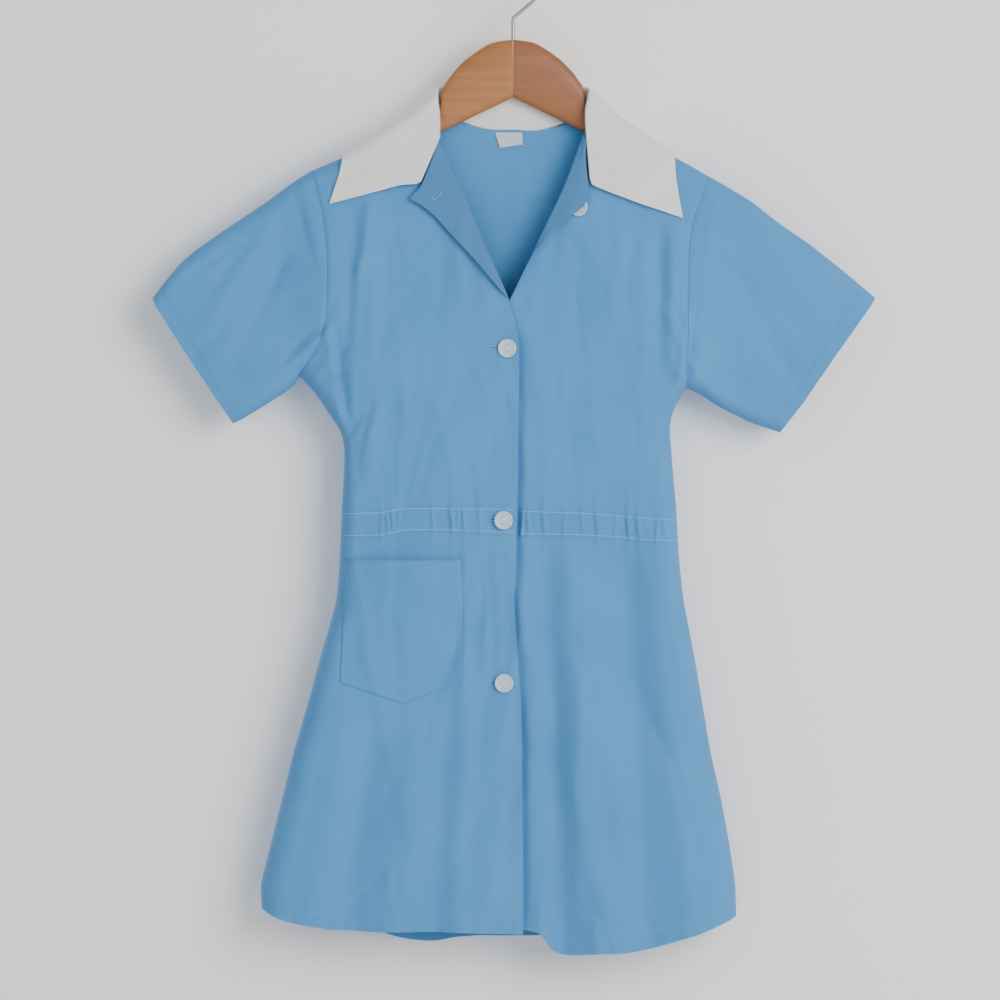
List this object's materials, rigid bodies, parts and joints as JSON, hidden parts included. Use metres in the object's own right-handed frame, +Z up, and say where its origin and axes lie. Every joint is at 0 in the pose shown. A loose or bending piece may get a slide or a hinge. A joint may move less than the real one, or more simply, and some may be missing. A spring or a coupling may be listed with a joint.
{
  "type": "nurse uniform dress on a hanger",
  "caption": "Short-sleeved button-front uniform dress with a pointed collar, turned lapels, a gathered waist casing and a patch pocket, hanging on a wooden hanger with a wire hook.",
  "frame": {"origin": "inner top of the hanger's hook, where it bears on a rail", "axes": "+Z up along the dress, -Y out of its front, +X to the side of the wearer's left arm"},
  "size_m": [0.6074, 0.0626, 0.8417],
  "materials": {
    "cotton_blue": "light blue plain-weave cotton, matt",
    "cotton_white": "white plain-weave cotton, matt",
    "button_white": "white plastic, soft gloss",
    "wood": "stained wood, satin",
    "steel": "drawn steel wire"
  },
  "bodies": {
    "root": {"front_right": "cotton_blue", "front_left": "cotton_blue", "back": "cotton_blue", "sleeve_right": "cotton_blue", "sleeve_left": "cotton_blue", "casing_front_right": "cotton_blue", "casing_front_left": "cotton_blue", "casing_back": "cotton_blue", "pocket": "cotton_blue", "collar": "cotton_white", "label": "cotton_white", "button_1": "button_white", "button_2": "button_white", "button_3": "button_white", "button_4": "button_white", "hanger_right": "wood", "hanger_left": "wood", "hook": "steel"}
  },
  "joints": []
}
